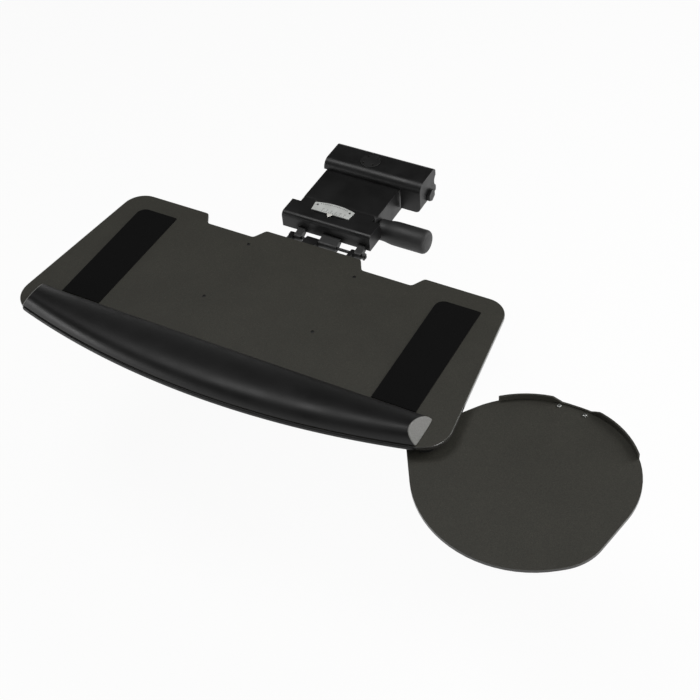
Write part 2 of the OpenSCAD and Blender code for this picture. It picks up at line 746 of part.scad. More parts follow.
// Palm rest: cushion with its crown towards the front, cut at a slope at both ends
palm_back = -2.5;
palm_slope = 0.9;
palm_skew = 0.16;
function palm_front(x) = front_centre - sqrt(front_r*front_r - x*x) + 0.6;
function palm_point(x, lean, s) = let (z = palm_h*sqrt(max(0, sin(180*s))), px = x - lean*z,
    f = palm_front(px))
    [px, palm_back + (f - palm_back)*(s + palm_skew*sin(180*s)), z];
function palm_section(x, lean, n) = [for (i = [0:n]) palm_point(x, lean, (1 - cos(180*i/n))/2)];

module palm_rest() {
    n = 16;
    inner = 28;
    reach = palm_half_l - palm_slope*palm_h - 6;
    rows = concat(palm_section(-palm_half_l, -palm_slope, n),
        [for (i = [0:inner]) each palm_section(reach*(2*i/inner - 1), 0, n)],
        palm_section(palm_half_l, palm_slope, n));
    last = inner + 2;
    skin = [for (i = [0:last - 1], k = [0:n - 1])
        let (a = i*(n + 1) + k, b = a + 1, c = a + n + 1, d = c + 1) each [[a, d, b], [a, c, d]]];
    base = [for (i = [0:last - 1]) let (a = i*(n + 1), b = a + n, c = a + n + 1, d = c + n)
        each [[a, d, c], [a, b, d]]];
    ends = [for (k = [1:n - 1]) each [[0, k, k + 1], [last*(n + 1), last*(n + 1) + k + 1, last*(n + 1) + k]]];
    color("#1b1b1b") on_tray() polyhedron(points = rows, faces = concat(skin, base, ends));
}

// Non-skid pads, cut alike with one well-rounded rear corner
module pad(x) {
    c = pad_corner_r;
    color("#0c0c0c") on_tray() linear_extrude(pad_t)
        polygon(belt([[x + 0.5, 0.5, 0.5], [x + pad_w - 0.5, 0.5, 0.5], [x + pad_w - 2, pad_l - 2, 2],
            [x + c, pad_l - c, c]]));
}

module left_pad() { pad(-pad_in - pad_w); }
module right_pad() { pad(pad_in); }

module platform_screws() {
    color("silver") on_tray() platform_screw_places() {
        translate([0, 0, bracket_bottom - 2.6]) cylinder(d = screw_d + 4.4, h = 2.6);
        translate([0, 0, bracket_bottom - 1]) cylinder(d = screw_d - 2*fit, h = bracket_t + board_t);
    }
}

// Mouse platform's bracket, stud and its stack
mouse_bracket_lobes = [[stud.x - 1.9*mouse_lobe_r, stud.y + 1.8*mouse_lobe_r, mouse_lobe_r/2],
    [stud.x - 2.6*mouse_lobe_r, stud.y - mouse_lobe_r/3, mouse_lobe_r/2]];

module mouse_bracket() {
    color("dimgray") on_tray() difference() {
        translate([0, 0, bracket_bottom]) linear_extrude(bracket_t)
            polygon(belt(concat([[stud.x, stud.y, 0.7*mouse_lobe_r]], mouse_bracket_lobes)));
        disc(mouse_stud_d + 2*fit, bracket_bottom - 1, board_bottom + 1, stud);
        for (p = mouse_bracket_lobes) disc(screw_d, bracket_bottom - 1, board_bottom + 1, p);
    }
}

module mouse_bracket_screws() {
    color("silver") on_tray() for (p = mouse_bracket_lobes) {
        disc(screw_d - 2*fit, bracket_bottom - 1, board_bottom + 4, p);
        disc(screw_d + 4, bracket_bottom - 2.6, bracket_bottom, p);
    }
}

module mouse_stud() {
    color("silver") on_tray() {
        disc(mouse_stud_d, -mouse_stack - 2, board_bottom, stud);
        disc(stud_flange_d, bracket_bottom - stud_flange_t, bracket_bottom, stud);
    }
}

module mouse_spacer() {
    color("ivory") on_tray() difference() {
        disc(spacer_d, -mouse_drop, bracket_bottom - stud_flange_t, stud);
        disc(mouse_stud_d + 2*fit, -mouse_drop - 1, bracket_bottom, stud);
    }
}

module mouse_washer() {
    color("silver") on_tray() difference() {
        disc(spacer_d - 2, -mouse_drop - mouse_t - mouse_washer_t, -mouse_drop - mouse_t, stud);
        disc(mouse_stud_d + 2*fit, -mouse_stack, 0, stud);
    }
}

module mouse_nut() {
    color("silver") on_tray() difference() {
        translate([stud.x, stud.y, -mouse_stack])
            cylinder(d = 1.7*mouse_stud_d/cos(30), h = mouse_nut_t, $fn = 6);
        disc(mouse_stud_d + 2*fit, -mouse_stack - 1, 0, stud);
    }
}

// Lock knob on the arm's front pivot
knob_from = arm_half + 2;
knob_washer_t = 1.6;

module lock_knob() {
    r = knob_d/2;
    neck = r - 2;
    nose = 7;
    profile = concat([[0, 0], [neck, 0]], [for (i = [0:8]) [neck + 1 - cos(180*i/8), 6 + 20*i/8]],
        arc([r - nose, knob_l - nose], nose, 0, 80, 8), [[0, knob_l - 0.2]]);
    color("#151515") difference() {
        translate([knob_from, front_pivot.x, front_pivot.y]) rotate([0, 90, 0])
            rotate_extrude() polygon(profile);
        bar(front_pivot, pivot_d + 2*fit, knob_from - 1, knob_from + knob_l - 14);
    }
}

module knob_shaft() {
    color("silver") bar(front_pivot, pivot_d, lug_in, knob_from + knob_l - 14);
}

module knob_washer() {
    color("silver") difference() {
        bar(front_pivot, 22, knob_from - knob_washer_t, knob_from);
        bar(front_pivot, pivot_d + 2*fit, knob_from - 4, knob_from + 1);
    }
}

// Mouse platform: teardrop board, wider round its rear edge
module mouse_platform() {
    color("#3a3933") on_tray() difference() {
        translate([0, 0, -mouse_drop - mouse_t]) linear_extrude(mouse_t) polygon(belt(mouse_circles, 5));
        disc(mouse_bush_d + 2*fit, -mouse_drop - mouse_t - 1, 1, stud);
        for (a = scoop_holes) disc(scoop_hole_d, -mouse_drop - mouse_t - 1, 1, scoop_hole(a));
    }
}

guard_centre = [mouse_circles[3].x, mouse_circles[3].y];
scoop_holes = [scoop_from - 2, scoop_to + 5];
scoop_hole_d = 4;
function scoop_hole(a) = guard_centre + (mouse_r - guard_t - 4)*[cos(a), sin(a)];
function wedge(a, b) = concat([guard_centre], arc(guard_centre, 2*mouse_r, a, b, 6));

// Low wall round the rear edge, dipped at the cord scoop
module mouse_guard() {
    dip_h = 2.4;
    ramp = 7;
    from = guard_centre.x + mouse_r*cos(scoop_from);
    to = guard_centre.x + mouse_r*cos(scoop_to);
    dip = [[from - ramp, guard_h + 1], [from + ramp, dip_h], [to - ramp, dip_h], [to + ramp, guard_h + 1]];
    color("#3a3933") on_tray() translate([0, 0, -mouse_drop]) difference() {
        linear_extrude(guard_h) intersection() {
            difference() {
                polygon(belt(mouse_circles, 5));
                polygon(belt(grown(mouse_circles, -guard_t), 5));
            }
            polygon(wedge(guard_to, guard_from));
        }
        translate([0, guard_centre.y + 2*mouse_r, 0]) rotate([90, 0, 0])
            linear_extrude(2*mouse_r) polygon(dip);
    }
}

module mouse_bush() {
    color("ivory") on_tray() difference() {
        disc(mouse_bush_d, -mouse_drop - mouse_t, -mouse_drop, stud);
        disc(mouse_stud_d + 2*fit, -mouse_drop - mouse_t - 1, 1, stud);
    }
}

swivel_hub();
hub_nut();
thrust_washer();
swivel_bush();
lower_washer();
pivot_bracket();
rear_cover();
cover_screws();
lift_bolt();
lift_nut();
spring_sleeve();
lift_spring();
rear_link_pins();
upper_arm();
arm_cover();
lower_link();
tilt_frame();
head_cover();
front_pivot_pin();
front_link_pins();
hinge_rod();
rod_clips();
gauge_plate();
head_screws();
gauge_pointer();
tilt_bracket();
keyboard_platform();
palm_rest();
left_pad();
right_pad();
platform_screws();
mouse_bracket();
mouse_bracket_screws();
mouse_stud();
mouse_spacer();
mouse_washer();
mouse_nut();
lock_knob();
knob_shaft();
knob_washer();
mouse_platform();
mouse_guard();
mouse_bush();
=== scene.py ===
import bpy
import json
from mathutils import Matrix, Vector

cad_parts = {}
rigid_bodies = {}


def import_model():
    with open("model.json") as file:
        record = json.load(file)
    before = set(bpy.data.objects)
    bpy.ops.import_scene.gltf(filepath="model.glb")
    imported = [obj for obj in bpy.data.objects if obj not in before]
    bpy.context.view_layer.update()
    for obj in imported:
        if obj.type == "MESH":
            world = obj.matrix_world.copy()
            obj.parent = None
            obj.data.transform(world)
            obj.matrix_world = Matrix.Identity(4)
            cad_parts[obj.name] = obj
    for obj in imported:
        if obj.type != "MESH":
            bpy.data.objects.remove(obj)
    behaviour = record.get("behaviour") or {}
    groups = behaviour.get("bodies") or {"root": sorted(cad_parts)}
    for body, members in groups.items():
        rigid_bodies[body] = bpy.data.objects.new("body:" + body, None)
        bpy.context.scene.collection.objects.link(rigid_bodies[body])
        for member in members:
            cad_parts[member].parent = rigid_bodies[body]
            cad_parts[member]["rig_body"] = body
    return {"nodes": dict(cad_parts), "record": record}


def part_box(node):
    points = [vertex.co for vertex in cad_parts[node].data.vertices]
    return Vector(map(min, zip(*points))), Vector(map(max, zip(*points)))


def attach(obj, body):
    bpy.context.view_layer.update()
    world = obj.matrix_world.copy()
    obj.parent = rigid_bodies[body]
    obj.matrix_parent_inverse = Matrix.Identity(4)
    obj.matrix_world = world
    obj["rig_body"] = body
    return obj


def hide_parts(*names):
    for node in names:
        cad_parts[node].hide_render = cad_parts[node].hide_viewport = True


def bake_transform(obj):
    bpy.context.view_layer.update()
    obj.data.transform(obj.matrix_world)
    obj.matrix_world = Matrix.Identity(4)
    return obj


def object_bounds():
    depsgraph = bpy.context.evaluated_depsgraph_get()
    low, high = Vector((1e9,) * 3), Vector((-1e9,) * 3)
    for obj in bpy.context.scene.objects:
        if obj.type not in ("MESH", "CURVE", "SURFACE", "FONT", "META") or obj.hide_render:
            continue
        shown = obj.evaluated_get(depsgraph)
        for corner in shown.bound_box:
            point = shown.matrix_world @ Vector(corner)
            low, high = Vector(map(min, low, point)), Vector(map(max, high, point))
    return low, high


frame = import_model()
cadBox = [list(corner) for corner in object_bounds()]

import json
import math

import bmesh
import bpy
import numpy as np
from mathutils import Matrix, Vector

scene = bpy.context.scene
mm = 0.001
boardTop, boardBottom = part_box("keyboard_platform")[1].z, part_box("keyboard_platform")[0].z
mouseTop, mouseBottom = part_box("mouse_platform")[1].z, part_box("mouse_platform")[0].z
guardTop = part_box("mouse_guard")[1].z
gaugeTop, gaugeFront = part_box("gauge_plate")[1].z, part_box("gauge_plate")[0].y / mm
palmHalf, palmShift, palmSlope = 300.0, -4.0, 0.7  # palm rest: half length, shift to the left, slope of its ends
scoopHoles = [(419.25, -301.12), (453.55, -302.92)]  # the two holes at the mouse board's cord scoop


def linear(hexText):
    # sRGB hex to the linear colour that the shaders take
    parts = [int(hexText[i:i + 2], 16) / 255 for i in (1, 3, 5)]
    return tuple(c / 12.92 if c <= 0.04045 else ((c + 0.055) / 1.055) ** 2.4 for c in parts) + (1.0,)


def setSockets(tree, node, inputs):
    # sets each socket, or links it where the value is another node's socket
    for socket, value in inputs.items():
        if isinstance(value, bpy.types.NodeSocket):
            tree.links.new(value, node.inputs[socket])
        else:
            node.inputs[socket].default_value = value


def addNode(tree, kind, inputs=None, **settings):
    node = tree.nodes.new(kind)
    for name, value in settings.items():
        setattr(node, name, value)
    setSockets(tree, node, inputs or {})
    return node


def startMaterial(name):
    # an empty material with its shader wired to the output
    material = bpy.data.materials.new(name)
    material.use_nodes = True
    tree = material.node_tree
    tree.nodes.clear()
    shader = addNode(tree, "ShaderNodeBsdfPrincipled")
    addNode(tree, "ShaderNodeOutputMaterial", {"Surface": shader.outputs["BSDF"]})
    place = addNode(tree, "ShaderNodeTexCoord").outputs["Object"]
    return material, tree, shader, place


def perMm(size):
    # texture scale for a feature of that many millimetres
    return 1000.0 / size


def noise(tree, place, sizeMm, detail, rough=0.5):
    return addNode(tree, "ShaderNodeTexNoise", {"Vector": place, "Scale": perMm(sizeMm), "Detail": detail,
                                                "Roughness": rough}).outputs["Fac"]


def spread(tree, value, source, result=(0.0, 1.0)):
    # maps one range of values to another, held at both ends
    return addNode(tree, "ShaderNodeMapRange", {"Value": value, "From Min": source[0], "From Max": source[1],
                                                "To Min": result[0], "To Max": result[1]}).outputs["Result"]


def mix(tree, share, first, second, kind="RGBA"):
    return addNode(tree, "ShaderNodeMix", {"Factor": share, "A": first, "B": second}, data_type=kind).outputs["Result"]


def scaled(tree, colour, factor):
    return addNode(tree, "ShaderNodeVectorMath", {0: colour, "Scale": factor}, operation="SCALE").outputs["Vector"]


def calculate(tree, operation, *values):
    return addNode(tree, "ShaderNodeMath", dict(enumerate(values)), operation=operation).outputs["Value"]


def relief(tree, height, strength, depthMm):
    return addNode(tree, "ShaderNodeBump", {"Height": height, "Strength": strength,
                                            "Distance": depthMm * mm}).outputs["Normal"]


usual = (0.3, 0.7)  # most values of a noise lie between these
whole = (0.0, 1.0)

# compact laminate: paper and resin pressed to a matt, finely speckled sheet, dark and glossy where it is sawn
# and sealed; the sawn look starts and is full this far below a face
laminate = dict(dark="#282722", light="#3a3932", fleck="#545248", edge="#2b2a27", speckMm=0.9, fleckMm=2.2,
                mottleMm=55, layerMm=1.381, skinMm=0.5, speckBand=(0.34, 0.66), fleckBand=(0.6, 0.74),
                fleckShare=0.55, mottleShade=(0.93, 1.06), layerShade=(0.8, 1.1), sawnFrom=0.35, sawnFull=0.7,
                rough=0.56, duller=0.08, shinier=0.06, edgeRough=0.24, level=0.35, edgeLevel=0.5, ior=1.5,
                bump=0.25, depthMm=0.05)
waveRadians = 20  # radians to the unit in a wave texture of scale 1


def pressedLaminate(name, top, bottom, seal):
    s = laminate
    material, tree, shader, place = startMaterial(name)
    speck = noise(tree, place, s["speckMm"], 3.0, 0.7)
    sheet = mix(tree, spread(tree, speck, s["speckBand"]), linear(s["dark"]), linear(s["light"]))
    fleck = noise(tree, place, s["fleckMm"], 4.0, 0.75)
    flecked = mix(tree, spread(tree, fleck, s["fleckBand"], (0.0, s["fleckShare"])), sheet, linear(s["fleck"]))
    mottle = noise(tree, place, s["mottleMm"], 2.0)
    face = scaled(tree, flecked, spread(tree, mottle, usual, s["mottleShade"]))
    # sawn edge: everything between the two faces, with fine pressed layers
    height = addNode(tree, "ShaderNodeSeparateXYZ", {"Vector": place}).outputs["Z"]
    below = spread(tree, height, (top - s["sawnFull"] * mm, top - s["sawnFrom"] * mm), (1.0, 0.0))
    above = spread(tree, height, (bottom + s["sawnFrom"] * mm, bottom + s["sawnFull"] * mm))
    sawn = calculate(tree, "MULTIPLY", below, above)
    layers = addNode(tree, "ShaderNodeTexWave", {"Vector": place, "Scale": perMm(s["layerMm"]) * math.tau / waveRadians,
                                                 "Distortion": 1.5, "Detail": 2.0, "Detail Scale": 0.4},
                     bands_direction="Z").outputs["Fac"]
    edge = scaled(tree, linear(s["edge"])[:3], spread(tree, layers, whole, s["layerShade"]))
    skin = noise(tree, place, s["skinMm"], 4.0)
    rough = spread(tree, skin, usual, (s["rough"] - s["shinier"], s["rough"] + s["duller"]))
    setSockets(tree, shader, {
        "Base Color": mix(tree, sawn, face, edge),
        "Roughness": mix(tree, sawn, rough, s["edgeRough"], "FLOAT"),
        "Normal": relief(tree, skin, s["bump"], s["depthMm"]),
        "Specular IOR Level": mix(tree, sawn, s["level"], s["edgeLevel"], "FLOAT"), "IOR": s["ior"],
        "Coat Weight": calculate(tree, "MULTIPLY", sawn, seal), "Coat Roughness": s["edgeRough"], "Coat IOR": s["ior"],
    })
    return material


# moulded, coated and rubber finishes differ only in these numbers; the grain is the mould's or the coat's own texture
finishes = {
    # ABS from a spark-textured mould: even black with a fine satin grain
    "abs spark-textured black": dict(dark="#090909", light="#101010", grainMm=0.9, blotchMm=30, rough=0.40,
                                     bump=0.35, depthMm=0.06, ior=1.53, level=0.36),
    # polyester powder on steel: black, slightly orange-peeled
    "powder-coated steel black": dict(dark="#0c0c0c", light="#151515", grainMm=1.6, blotchMm=25, rough=0.46,
                                      bump=0.3, depthMm=0.08, ior=1.5, level=0.5),
    # soft elastomer moulded over the knob: dull black
    "elastomer grip moulded black": dict(dark="#131313", light="#1d1d1d", grainMm=0.8, blotchMm=18, rough=0.55,
                                         bump=0.3, depthMm=0.05, ior=1.5, level=0.55),
    # self-skinning polyurethane foam: black skin with a fine leather-like grain; its sloped end faces are painted light
    # grey, a painted highlight for the light that they catch
    "polyurethane foam skin black": dict(dark="#060606", light="#0c0c0c", grainMm=1.5, blotchMm=45, rough=0.45,
                                         bump=0.3, depthMm=0.10, ior=1.5, level=0.32, paintedEndHighlight="#7a7a77"),
    # nitrile rubber sheet, embossed: very dull black
    "nitrile rubber sheet black": dict(dark="#040404", light="#0b0b0b", grainMm=1.8, blotchMm=22, rough=0.86,
                                       bump=0.6, depthMm=0.18, ior=1.5, level=0.12),
    # acetal, turned or moulded: off-white and waxy
    "acetal natural white": dict(dark="#cbc6b7", light="#d8d4c6", grainMm=3.0, blotchMm=20, rough=0.38,
                                 bump=0.1, depthMm=0.03, ior=1.48, level=0.5),
    # acetal dyed black, turned: the spacer between the two boards
    "acetal turned black": dict(dark="#0e0e0d", light="#181817", grainMm=1.0, blotchMm=12, rough=0.36,
                                bump=0.1, depthMm=0.03, ior=1.48, level=0.5),
    # moulded white plastic of the pointer
    "polystyrene moulded white": dict(dark="#cfcdc6", light="#e0ded8", grainMm=1.2, blotchMm=8, rough=0.40,
                                      bump=0.1, depthMm=0.02, ior=1.59, level=0.5),
    # enamelled gauge plate: pale grey, printed
    "enamelled aluminium pale grey": dict(dark="#b4b6b3", light="#c9cbc8", grainMm=0.7, blotchMm=14, rough=0.34,
                                          bump=0.08, depthMm=0.02, ior=1.5, level=0.5),
    # printing ink of the gauge
    "printing ink black": dict(dark="#151515", light="#202020", grainMm=0.5, blotchMm=5, rough=0.5,
                               bump=0.05, depthMm=0.01, ior=1.5, level=0.4),
}
toneBand = (0.7, 1.3)  # of two noises added
paintedHighlightGrain = 0.35  # how much of the grain shows in the painted highlight on the palm's ends
paintedHighlightFade = (1.3, 0.5)  # the painted highlight starts and is full this many millimetres before the end


def cutEnds(tree, place, grain, skin, paintedEndHighlight):
    # the ends are cut at a slope: there |x| plus slope times height reaches the half length, and there the skin is
    # painted light grey as a painted highlight
    apart = addNode(tree, "ShaderNodeSeparateXYZ", {"Vector": place}).outputs
    outward = calculate(tree, "ABSOLUTE", calculate(tree, "SUBTRACT", apart["X"], palmShift * mm))
    reach = calculate(tree, "MULTIPLY_ADD", apart["Z"], palmSlope, outward)
    atEnd = palmHalf * mm + palmSlope * boardTop
    share = spread(tree, reach, [atEnd - fade * mm for fade in paintedHighlightFade])
    return mix(tree, share, skin, mix(tree, paintedHighlightGrain, paintedEndHighlight, scaled(tree, paintedEndHighlight[:3], grain)))


def grainedFinish(name):
    s = finishes[name]
    material, tree, shader, place = startMaterial(name)
    grain = addNode(tree, "ShaderNodeTexVoronoi", {"Vector": place, "Scale": perMm(s["grainMm"])},
                    feature="SMOOTH_F1").outputs["Distance"]
    fine = noise(tree, place, s["grainMm"] / 2, 3.0)
    blotch = noise(tree, place, s["blotchMm"], 3.0)
    tone = spread(tree, calculate(tree, "ADD", blotch, fine), toneBand)
    colour = mix(tree, tone, linear(s["dark"]), linear(s["light"]))
    # the palm's sloped ends get a painted highlight: a light grey in place of the black skin
    if "paintedEndHighlight" in s:
        colour = cutEnds(tree, place, grain, colour, linear(s["paintedEndHighlight"]))
    setSockets(tree, shader, {
        "Base Color": colour, "Roughness": spread(tree, blotch, usual, (s["rough"] - 0.05, s["rough"] + 0.06)),
        "Normal": relief(tree, calculate(tree, "ADD", grain, fine), s["bump"], s["depthMm"]),
        "IOR": s["ior"], "Specular IOR Level": s["level"],
    })
    return material


# zinc-plated steel: bright but slightly cloudy, with a fine grain
zinc = dict(dark="#8e908f", light="#b9bab6", cloudMm=7, grainMm=0.5, roughBand=(0.24, 0.42), bump=0.15, depthMm=0.02)


def platedSteel(name):
    s = zinc
    material, tree, shader, place = startMaterial(name)
    cloud = noise(tree, place, s["cloudMm"], 4.0)
    grain = noise(tree, place, s["grainMm"], 2.0)
    setSockets(tree, shader, {
        "Base Color": mix(tree, spread(tree, cloud, usual), linear(s["dark"]), linear(s["light"])),
        "Roughness": spread(tree, grain, usual, s["roughBand"]),
        "Normal": relief(tree, grain, s["bump"], s["depthMm"]), "Metallic": 1.0,
    })
    return material


made = {name: grainedFinish(name) for name in finishes}
made["zinc-plated steel"] = platedSteel("zinc-plated steel")
# the heights between which each board is sawn, and how far its sawn edge is sealed; the guard stands on edge, so
# nearly all of it is face
sawnBoards = {
    "compact laminate pressed board": (boardTop, boardBottom, 1.0),
    "compact laminate pressed mouse board": (mouseTop, mouseBottom, 0.0),
    "compact laminate pressed guard": (guardTop, guardTop - 1 * mm, 0.0),
}
for name, heights in sawnBoards.items():
    made[name] = pressedLaminate(name, *heights)
print("materials:", len(made))

# which finish each solid wears, by its slot in the record
slotFinish = {
    "laminate_board": "compact laminate pressed board", "palm_skin": "polyurethane foam skin black",
    "nonskid_rubber": "nitrile rubber sheet black", "black_moulding": "abs spark-textured black",
    "soft_grip": "elastomer grip moulded black", "black_steel": "powder-coated steel black",
    "plated_steel": "zinc-plated steel", "bearing_plastic": "acetal natural white",
    "gauge_face": "enamelled aluminium pale grey", "pointer_plastic": "polystyrene moulded white",
}
nodeSlot = {part["node"]: part["material_slot"] for part in frame["record"]["subparts"]}
nodeFinish = {node: slotFinish[slot] for node, slot in nodeSlot.items()}
nodeFinish["mouse_platform"] = "compact laminate pressed mouse board"
nodeFinish["mouse_guard"] = "compact laminate pressed guard"
nodeFinish["mouse_spacer"] = "acetal turned black"  # a pale spacer would show between the boards
nodeSlot["mouse_spacer"] = "black_moulding"
for name, node in frame["nodes"].items():
    node.data.materials.clear()
    node.data.materials.append(made[nodeFinish[name]])


def addPiece(name, mesh, finish, body, nodes=()):
    # links a finished mesh as a piece that rides on a body (none if it bends between two) and stands for the named solids
    piece = bpy.data.objects.new(name, mesh)
    scene.collection.objects.link(piece)
    mesh.materials.clear()
    mesh.materials.append(made[finish])
    if body:
        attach(piece, body)
    if nodes:
        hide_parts(*nodes)
    return piece


# solids that get broken edges: nominal width of the rounding in mm, which Blender's overlap clamp holds back
# wherever small holes or slots are near
brokenEdges = {
    "keyboard_platform": 1.5, "mouse_platform": 0.8, "mouse_guard": 0.5, "left_pad": 0.35, "right_pad": 0.35,
    "rear_cover": 0.9, "arm_cover": 0.6, "head_cover": 0.9, "gauge_plate": 0.25, "gauge_pointer": 0.2,
    "tilt_bracket": 0.5, "tilt_frame": 0.2, "pivot_bracket": 0.5, "upper_arm": 0.5, "lower_link": 0.6,
    "mouse_bracket": 0.5, "lift_bolt": 0.5, "lift_nut": 0.5, "mouse_nut": 0.5, "hub_nut": 0.5,
    "swivel_hub": 0.4, "mouse_stud": 0.4, "hinge_rod": 0.5, "rod_clips": 0.25, "lock_knob": 0.4,
    "mouse_spacer": 0.6, "platform_screws": 0.35, "mouse_bracket_screws": 0.35, "head_screws": 0.3,
}
# the boards' outlines are well rounded, but only by a share round these spots (holes) and behind this line, where the
# guard stands; the arm cover's nose keeps sharp slots for the lugs that turn in them
fineEdges = {
    "keyboard_platform": dict(spots=[(x, y) for x in (-84.5, 84.5) for y in (-213, -330)], reach=8, behind=0, share=0.1,
                              clamp=False),
    "mouse_platform": dict(spots=[(295.5, -426)] + scoopHoles, reach=12, behind=-352, share=0.15, clamp=True),
    "arm_cover": dict(spots=[(x, y) for x in (-51.4, 51.4) for y in (-97, -106, -114)], reach=7.5, behind=99, share=0.0,
                      clamp=True),
}
edging = dict(mergeMm=0.002, flatDegrees=0.1, sharpDegrees=32, segments=2, fineSegments=4)


def mergedCopy(nodeName):
    # the solid's mesh with its doubled corners merged and its flat faces joined
    work = bmesh.new()
    work.from_mesh(frame["nodes"][nodeName].data)
    bmesh.ops.remove_doubles(work, verts=work.verts, dist=edging["mergeMm"] * mm)
    bmesh.ops.dissolve_limit(work, angle_limit=math.radians(edging["flatDegrees"]), verts=work.verts, edges=work.edges)
    work.verts.index_update()
    points = [v.co.copy() for v in work.verts]
    faces = [[v.index for v in f.verts] for f in work.faces]
    work.free()
    mesh = bpy.data.meshes.new(nodeName + "_edged")
    mesh.from_pydata(points, [], faces)
    mesh.shade_smooth()
    mesh.set_sharp_from_angle(angle=math.radians(edging["sharpDegrees"]))
    return mesh


def weighEdges(mesh, spots, reach, behind, share):
    # full rounding on sharp edges, and a share of it near the spots and behind the line
    ends = np.array([mesh.vertices[i].co[:2] for e in mesh.edges for i in e.vertices]).reshape(-1, 2, 2) / mm
    middle = ends.mean(1)
    near = np.min([np.hypot(*(middle - spot).T) for spot in spots], 0) < reach
    sharp = np.array([e.use_edge_sharp for e in mesh.edges])
    weight = np.where(near | (middle[:, 1] > behind), share, 1.0) * sharp
    layer = mesh.attributes.new("bevel_weight_edge", "FLOAT", "EDGE")
    layer.data.foreach_set("value", weight.astype(np.float32))


def breakEdges(nodeName, width):
    # a merged copy of the solid with its corners rounded by a live bevel
    mesh = mergedCopy(nodeName)
    body = frame["nodes"][nodeName]["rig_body"]
    piece = addPiece(nodeName + "_edged", mesh, nodeFinish[nodeName], body, [nodeName])
    bevel = piece.modifiers.new("broken edge", "BEVEL")
    bevel.width = width * mm
    bevel.segments = edging["segments"]
    bevel.limit_method = "ANGLE"
    bevel.angle_limit = math.radians(edging["sharpDegrees"])
    bevel.harden_normals = True
    if nodeName in fineEdges:
        s = dict(fineEdges[nodeName])
        bevel.segments = edging["fineSegments"]
        bevel.limit_method = "WEIGHT"
        bevel.use_clamp_overlap = s.pop("clamp")  # clamped, the keyboard board's small holes would hold its outline back
        weighEdges(mesh, **s)


for nodeName, width in brokenEdges.items():
    breakEdges(nodeName, width)
print("edges broken on", len(brokenEdges), "solids")


def gridMesh(name, rows):
    # a closed surface from an array rows[i, j, xyz]: each row is a loop, and each end is closed by one face
    count, across = rows.shape[:2]
    i, j = np.meshgrid(np.arange(count - 1), np.arange(across), indexing="ij")
    k = (j + 1) % across
    quads = np.stack([i * across + j, i * across + k, (i + 1) * across + k, (i + 1) * across + j], -1).reshape(-1, 4)
    caps = [list(range(across))[::-1], list(range((count - 1) * across, count * across))]
    mesh = bpy.data.meshes.new(name)
    mesh.from_pydata(rows.reshape(-1, 3).tolist(), [], quads.tolist() + caps)
    work = bmesh.new()
    work.from_mesh(mesh)
    bmesh.ops.recalc_face_normals(work, faces=work.faces)
    work.to_mesh(mesh)
    work.free()
    mesh.shade_smooth()
    return mesh


# palm rest: a D-shaped section with its crown two thirds of the way forward, carried along the bowed front, and cut at
# a slope at both ends with a small rounded crease; the end faces close in rings drawn in by these shares
palm = dict(height=19.5, back=-2.5, skew=0.16, frontRadius=1193.8, frontCentre=1106.8, inset=0.6, lift=0.15,
            originY=-402.0, across=36, along=72, creaseMm=1.6, endGap=4, ringsIn=(0.07, 0.4, 0.8))
# section of a thin lip of its skin over the board's front edge: behind that edge, and above the board's top
lip = np.array([(0.6, 0.1), (-0.5, -0.4), (-1.3, -1.0), (-1.6, -2.2), (-1.6, -4.6), (-1.3, -6.0), (-0.2, -6.7),
                (1.6, -6.6), (3.0, -3.2), (2.0, -0.2)])


def boardFront(x):
    # the front edge is an arc about a point behind the board
    return palm["frontCentre"] - np.sqrt(palm["frontRadius"] ** 2 - (x + palmShift) ** 2)


def palmSkin(xBase, lean):
    # s runs from the back line to the front; height is the root of a half sine, so both feet stand steep
    p = palm
    s = (1 - np.cos(np.linspace(0, np.pi, p["across"] + 1))) / 2
    z = p["height"] * np.sqrt(np.clip(np.sin(np.pi * s), 0, None))
    x = xBase - lean * z
    front = boardFront(x) + p["inset"]
    y = p["back"] + (front - p["back"]) * (s + p["skew"] * np.sin(np.pi * s))
    return np.stack([x, y, z + p["lift"]], -1)


def palmEnd(side):
    # rows from the crease over the end's edge and into its face
    edge = palmSkin(side * palmHalf, side * palmSlope)
    before = palmSkin(side * (palmHalf - palm["creaseMm"]), side * palmSlope)
    return [before, edge] + [edge + (edge.mean(0) - edge) * share for share in palm["ringsIn"]]


def buildPalm():
    p = palm
    reach = palmHalf - palmSlope * p["height"] - p["endGap"]
    inner = [palmSkin(x, 0.0) for x in np.linspace(-reach, reach, p["along"])]
    cushion = np.array(palmEnd(-1)[::-1] + inner + palmEnd(1))
    x = np.linspace(-palmHalf, palmHalf, p["along"])
    hem = np.stack(np.broadcast_arrays(x[:, None], boardFront(x)[:, None] + lip[:, 0], lip[:, 1]), -1)
    work = bmesh.new()
    for rows in (cushion, hem):
        work.from_mesh(gridMesh("palm_rest_part", (rows + (palmShift, p["originY"], boardTop / mm)) * mm))
    mesh = bpy.data.meshes.new("palm_rest_cushion")
    work.to_mesh(mesh)
    work.free()
    mesh.shade_smooth()
    piece = addPiece("palm_rest_cushion", mesh, "polyurethane foam skin black", "tray", ["palm_rest"])
    smooth = piece.modifiers.new("smooth skin", "SUBSURF")
    smooth.levels = smooth.render_levels = 1


buildPalm()
print("palm rest made")

# lift spring: round wire wound about the rear pivot, one leg up against a rib of the cover, the other forward under a
# post of the arm
spring = dict(firstX=86.0, pitch=4.2, turns=4.75, radius=10.5, wire=3.0, axisY=3.0, axisZ=-35.8, legTop=-6.4,
              tipY=-19.0, legSteps=7, sides=12, perTurn=32, blendIn=0.5)


